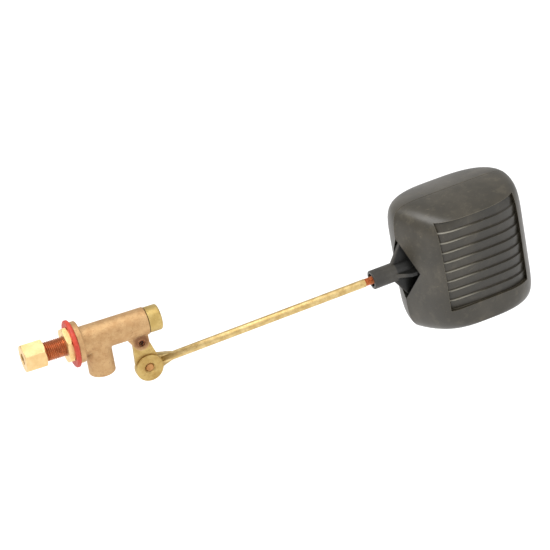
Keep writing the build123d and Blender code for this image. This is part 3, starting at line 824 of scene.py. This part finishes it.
@dataclass
class FloatShell:
    """One moulded half of the float: a pillow with a ribbed panel let into its face.

    A section is a slice at one share of the half width, 0 at the seam and 1 at the face. side is -1
    for the front half, whose end at the arm draws in by draft, and 1 for the rear half.
    """

    side: int
    half_length: float = 38.0
    half_height: float = 41.0
    half_width: float = 28.0
    face_half_length: float = 14.0
    face_half_height: float = 33.4
    near_power: float = 7.4
    far_power: float = 8.6
    face_power: float = 2.4
    plan_power: float = 2.3
    roof_power: float = 1.5
    draft: float = 13.0
    draft_power: float = 5.0

    # Fineness: sides and rings of the skin, columns of the panel, steps in finding the skin's depth.
    sides: int = 192
    rings: int = 34
    columns: int = 28
    halvings: int = 26

    # Panel: how deep the slats' lips and feet are sunk, and how much deeper its two ends are.
    shallow: float = 0.5
    deep: float = 1.45
    bow: float = 1.1
    ledge: float = 0.42
    lip_gap: float = 0.02
    panel_out: float = 40.0

    # Pocket: where its floor is along the arm, its corners' rounding and its cutter's length.
    pocket_floor: float = 182.0
    pocket_rounding: float = 1.2
    pocket_reach: float = 60.0

    # Seam: the gap between the halves, and how deep and how wide the groove along it is.
    seam_gap: float = 0.03
    seam_depth: float = 0.3
    seam_groove: float = 0.35
    seam_ease: float = 0.02

    def section(self, share: float) -> tuple[float, float, float, float, float]:
        """Near and far half lengths, half height, and the two powers at a share of the half width."""
        share = min(share, 1.0)
        plan = (1 - share ** self.plan_power) ** (1 / self.plan_power)
        roof = (1 - share ** self.roof_power) ** (1 / self.roof_power)
        spare = self.half_length - self.face_half_length
        far = self.face_half_length + spare * plan
        near = far
        if self.side < 0:
            near_plan = (1 - share ** self.draft_power) ** (1 / self.draft_power)
            near = self.face_half_length + (spare - self.draft * share) * near_plan
        height = self.face_half_height + (self.half_height - self.face_half_height) * roof
        blend = (2 * plan + roof) / 3
        near_power = self.face_power + (self.near_power - self.face_power) * blend
        far_power = self.face_power + (self.far_power - self.face_power) * blend
        return near, far, height, near_power, far_power

    def reach(self, share: float, angle: float, inset: float) -> tuple[float, float]:
        """Point of a section's outline at an angle.

        Args:
            share: share of the half width.
            angle: direction from the middle.
            inset: how far inside the outline, in millimetres.

        Returns:
            Its place along the arm and up.
        """
        near, far, height, near_power, far_power = self.section(share)
        across, up = math.cos(angle), math.sin(angle)
        length, power = (far, far_power) if across > 0 else (near, near_power)
        inner_length, inner_height = length - inset, height - inset
        size = (abs(across / inner_length) ** power + abs(up / inner_height) ** power) ** (-1 / power)
        return across * size, up * size

    def depth_at(self, along: float, up: float) -> float:
        """How far out the smooth skin is over a point of the seam plane, in millimetres."""
        low, high = 0.0, 1.0
        for _ in range(self.halvings):
            share = (low + high) / 2
            near, far, height, near_power, far_power = self.section(share)
            length, power = (far, far_power) if along > 0 else (near, near_power)
            inside = (abs(along) / length) ** power + (abs(up) / height) ** power <= 1
            low, high = (share, high) if inside else (low, share)
        return low * self.half_width

    def place_ring(self, piece: bpy.types.Object, share: float, out: float, inset: float,
                   shrink: float) -> None:
        """Puts the selected ring on a section's outline.

        Args:
            piece: the shell, open in edit mode.
            share: the section's share of the half width.
            out: how far the ring is from the seam plane.
            inset: how far it is inside the outline.
            shrink: share of the outline's size, below 1 for the rings within the face.
        """
        mesh = bmesh.from_edit_mesh(piece.data)
        for vertex in mesh.verts:
            if vertex.select:
                angle = math.atan2(vertex.co.z, vertex.co.x)
                along, up = self.reach(share, angle, inset)
                vertex.co = Vector((along * shrink, self.side * out, up * shrink)) * MM
        bmesh.update_edit_mesh(piece.data)

    def skin(self) -> bpy.types.Object:
        """Closed half pillow, ring by ring from the seam to the face."""
        bpy.ops.object.select_all(action="DESELECT")
        bpy.ops.mesh.primitive_circle_add(vertices=self.sides, radius=self.half_length * MM,
                                          rotation=(math.pi / 2, 0, math.pi / self.sides))
        piece = name_new("float_half")
        rings = [(0.0, self.seam_gap, self.seam_groove, 1.0), (0.0, self.seam_depth, self.seam_ease, 1.0)]
        for ring in range(1, self.rings + 1):
            share = math.sin(math.pi / 2 * ring / self.rings)
            rings.append((share, self.half_width * share, 0.0, 1.0))
        rings += [(1.0, self.half_width, 0.0, shrink) for shrink in (0.75, 0.5, 0.25)]
        start_edit(piece)
        self.place_ring(piece, *rings[0])
        for ring_values in rings[1:]:
            bpy.ops.mesh.extrude_region_move()
            self.place_ring(piece, *ring_values)
        bpy.ops.mesh.edge_face_add()
        bpy.ops.mesh.select_all(action="DESELECT")
        bpy.ops.mesh.select_non_manifold()
        bpy.ops.mesh.edge_face_add()
        end_edit()
        tidy_normals(piece)
        return piece

    def pocket(self) -> bpy.types.Object:
        """Diamond prism that opens the end round the boss."""
        length = self.pocket_reach
        bpy.ops.object.select_all(action="DESELECT")
        bpy.ops.mesh.primitive_cylinder_add(vertices=4, radius=MM, depth=length * MM,
                                            rotation=(0, math.pi / 2, 0))
        cutter = name_new("pocket_cutter")
        start_edit(cutter)
        bpy.ops.transform.resize(value=(1, POCKET_HALF_WIDTH, POCKET_HALF_HEIGHT), center_override=(0, 0, 0))
        bpy.ops.mesh.select_all(action="DESELECT")
        mesh = bmesh.from_edit_mesh(cutter.data)
        for edge in mesh.edges:
            ends = [v.co.x for v in edge.verts]
            edge.select = abs(ends[0] - ends[1]) > length * MM / 2
        bmesh.update_edit_mesh(cutter.data)
        bpy.ops.mesh.bevel(offset=self.pocket_rounding * MM, segments=4)
        end_edit()
        middle = self.pocket_floor - FLOAT_MIDDLE - length / 2
        move_mesh(cutter, Matrix.Translation(Vector((middle, 0, FLOAT_DROP)) * MM))
        tidy_normals(cutter)
        return cutter

    def ribs(self) -> bpy.types.Object:
        """Block whose inner face is a stack of slats, each sunk deeper at its lower edge."""
        left, right, bottom, top = PANEL
        pitch = (top - bottom) / SLATS
        rows: list[tuple[float, float]] = []
        for slat in range(SLATS):
            low = bottom + slat * pitch
            foot = low if slat == 0 else low + self.ledge
            middle = (low + pitch / 2, (self.deep + self.shallow) / 2)
            rows += [(foot, self.deep), middle, (low + pitch - self.lip_gap, self.shallow)]
        bpy.ops.object.select_all(action="DESELECT")
        bpy.ops.mesh.primitive_grid_add(x_subdivisions=self.columns, y_subdivisions=len(rows) - 1,
                                        size=1.0, rotation=(math.pi / 2, 0, 0))
        cutter = name_new("rib_cutter")
        for vertex in cutter.data.vertices:
            column = vertex.co.x + 0.5
            row = round((vertex.co.z + 0.5) * (len(rows) - 1))
            along = left + (right - left) * column
            up, sunk = rows[row]
            sunk += self.bow * (2 * column - 1) ** 2
            vertex.co = Vector((along, self.side * (self.depth_at(along, up) - sunk), up)) * MM
        start_edit(cutter)
        bpy.ops.mesh.extrude_region_move()
        mesh = bmesh.from_edit_mesh(cutter.data)
        for vertex in mesh.verts:
            if vertex.select:
                vertex.co.y = self.side * self.panel_out * MM
        bmesh.update_edit_mesh(cutter.data)
        end_edit()
        tidy_normals(cutter)
        return cutter

    def build(self, paint: Paintbox) -> None:
        """Builds the half, cuts its pocket and panel, dresses it and puts it on the float."""
        place = "front" if self.side < 0 else "rear"
        piece = self.skin()
        piece.name = f"float_{place}_half"
        piece.data.name = piece.name
        cut(piece, self.pocket())
        cut(piece, self.ribs())
        move_mesh(piece, FLOAT_FRAME)
        smooth(piece, 32)
        paint.dress(piece, "float_plastic")
        settle(piece, "float", "float_plastic", f"float_{place}_shell")


def settle(piece: bpy.types.Object, body: str, slot: str, *nodes: str) -> None:
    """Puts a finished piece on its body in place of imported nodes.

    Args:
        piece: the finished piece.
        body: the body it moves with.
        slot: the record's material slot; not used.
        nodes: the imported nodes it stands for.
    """
    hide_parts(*nodes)
    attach(piece, body)
    LOG.info("%s: %d faces on %s", piece.name, len(piece.data.polygons), body)


@dataclass
class PackedPieces:
    """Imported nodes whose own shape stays, each with its finish."""

    finishes: dict[str, str] = field(default_factory=lambda: {
        "valve_body": "cast_bronze",
        "pivot_pin": "pin_steel",
        "compression_nut": "nut_brass",
        "compression_ferrule": "ferrule_brass",
        "lock_nut": "lock_nut_brass",
        "plunger": "plunger_brass",
        "plunger_o_ring": "black_rubber",
        "seat_washer": "black_rubber",
        "lever": "lever_brass",
        "clamp_screw": "screw_brass",
        "lock_washer": "washer_bronze",
        "float_boss": "boss_plastic",
    })

    def build(self, paint: Paintbox, frame: dict[str, Any]) -> None:
        """Dresses each node."""
        for node, finish in self.finishes.items():
            paint.dress(frame["nodes"][node], finish)
            LOG.info("%s: dressed in %s", node, finish)


@dataclass
class Studio:
    """Pale floor, soft lights and the camera."""

    target: tuple[float, float, float] = (119.93, 0.0, 2.60)
    distance: float = 1200.0
    azimuth: float = -18.5
    elevation: float = 27.5
    roll: float = 8.78
    lens: float = 140.66
    floor_drop: float = 210.0

    def camera(self) -> None:
        """Camera, turned a little about its own axis."""
        azimuth, elevation, roll = (math.radians(a) for a in (self.azimuth, self.elevation, self.roll))
        right = Vector((math.cos(azimuth), math.sin(azimuth), 0))
        up = Vector((-math.sin(azimuth) * math.sin(elevation), math.cos(azimuth) * math.sin(elevation),
                     math.cos(elevation)))
        forward = up.cross(right)
        rolled_right = math.cos(roll) * right - math.sin(roll) * up
        rolled_up = math.sin(roll) * right + math.cos(roll) * up
        place = Vector(self.target) * MM - self.distance * MM * forward
        data = bpy.data.cameras.new("camera")
        data.lens = self.lens
        data.sensor_width = 36.0
        data.clip_end = 50.0
        camera = bpy.data.objects.new("camera", data)
        columns = Matrix((rolled_right, rolled_up, -forward)).transposed().to_4x4()
        camera.matrix_world = Matrix.Translation(place) @ columns
        bpy.context.scene.collection.objects.link(camera)
        bpy.context.scene.camera = camera

    def light(self, name: str, place: Sequence[float], size: float, power: float) -> None:
        """Square soft light that faces the middle of the object.

        Args:
            name: the light's name.
            place: its place in metres.
            size: side of the square in metres.
            power: watts.
        """
        data = bpy.data.lights.new(name, "AREA")
        data.size = size
        data.energy = power
        lamp = bpy.data.objects.new(name, data)
        aim = Vector(self.target) * MM - Vector(place)
        turn = aim.to_track_quat("-Z", "Y").to_matrix().to_4x4()
        lamp.matrix_world = Matrix.Translation(Vector(place)) @ turn
        bpy.context.scene.collection.objects.link(lamp)

    def floor(self) -> None:
        """Plain pale floor far enough down to take only a faint shadow."""
        bpy.ops.object.select_all(action="DESELECT")
        bpy.ops.mesh.primitive_plane_add(size=12, location=(0, 0, -self.floor_drop * MM))
        floor = name_new("floor")
        recipe = Recipe("pale_floor")
        tone = recipe.mix(recipe.noise(120.0), (0.9, 0.9, 0.9), (0.93, 0.93, 0.93))
        floor.data.materials.append(recipe.finish(Base_Color=tone, Roughness=0.9))

    def build(self) -> None:
        """Sets the whole studio up."""
        self.camera()
        self.floor()
        self.light("key", (-0.6, -0.2, 1.6), 1.3, 30.0)
        self.light("fill", (1.2, -1.4, 0.6), 1.2, 7.0)
        world = bpy.data.worlds.new("studio")
        world.use_nodes = True
        background = world.node_tree.nodes["Background"]
        background.inputs["Color"].default_value = (1.0, 1.0, 1.0, 1.0)
        background.inputs["Strength"].default_value = 0.86
        bpy.context.scene.world = world
        bpy.context.scene.view_settings.view_transform = "Standard"


def main() -> None:
    """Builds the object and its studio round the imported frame."""
    logging.basicConfig(level=logging.INFO, format="%(message)s")
    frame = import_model()
    paint = Paintbox()
    PackedPieces().build(paint, frame)
    Inlet().build(paint)
    Arm().build(paint, frame)
    FloatShell(-1).build(paint)
    FloatShell(1).build(paint)
    Studio().build()


if __name__ == "__main__":
    main()
